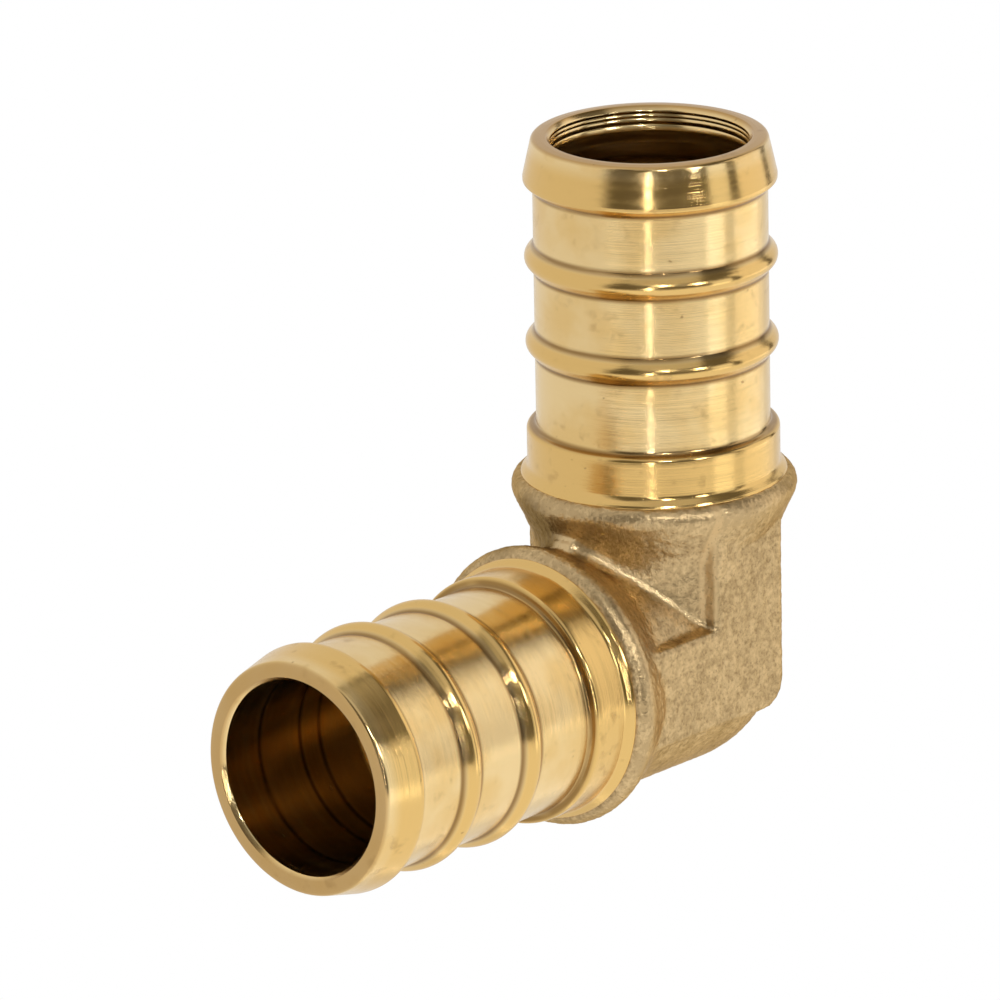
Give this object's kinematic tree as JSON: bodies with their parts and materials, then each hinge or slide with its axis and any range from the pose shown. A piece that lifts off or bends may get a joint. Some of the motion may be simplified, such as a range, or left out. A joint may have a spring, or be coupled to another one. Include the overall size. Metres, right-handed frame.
{
  "type": "pipe elbow",
  "caption": "Brass right-angle insert elbow with ribbed spigots for crimped plastic water tube.",
  "frame": {"origin": "the point where the two bore axes cross", "axes": "+X out along the first spigot, +Y out along the second spigot, +Z square to both, up from the side it lies on"},
  "size_m": [0.0461, 0.0461, 0.0196],
  "materials": {
    "brass": "machined spigots, blasted forging"
  },
  "bodies": {
    "root": {"elbow_body": "brass"}
  },
  "joints": []
}
